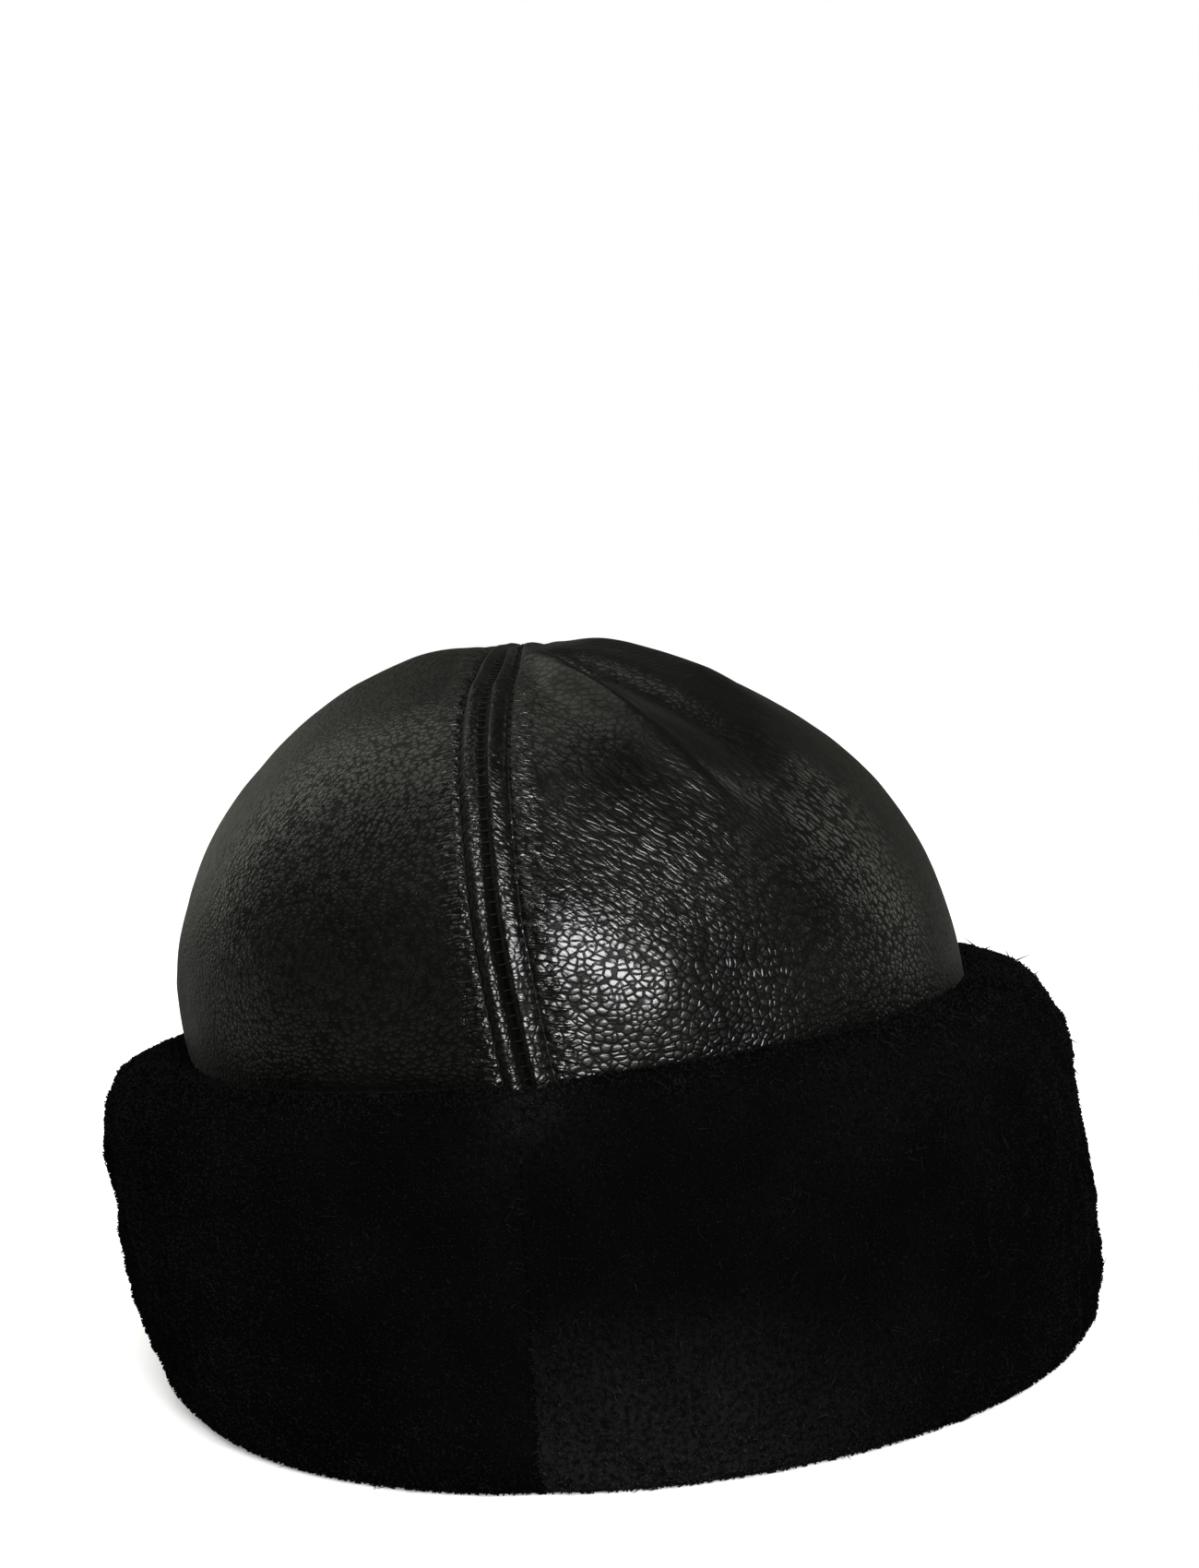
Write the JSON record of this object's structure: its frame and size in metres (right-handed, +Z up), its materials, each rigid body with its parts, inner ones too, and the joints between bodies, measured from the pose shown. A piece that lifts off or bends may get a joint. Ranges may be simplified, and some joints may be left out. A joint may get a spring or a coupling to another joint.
{
  "type": "shearling hat",
  "caption": "Soft dome hat of black leather with wool inside and a deep turned-up cuff of black fur, worn on the head.",
  "frame": {"origin": "on the surface the hat rests on, below the middle of the hat's box", "axes": "+Z up, the front of the hat towards -Y, the right side of the picture towards +X"},
  "size_m": [0.2552, 0.2614, 0.1843],
  "materials": {
    "leather": "black pebbled leather with a soft shine",
    "fur": "dense sheared black wool, matt"
  },
  "bodies": {
    "root": {"crown_left": "leather", "crown_right": "leather", "cuff_left": "fur", "cuff_right": "fur"}
  },
  "joints": []
}
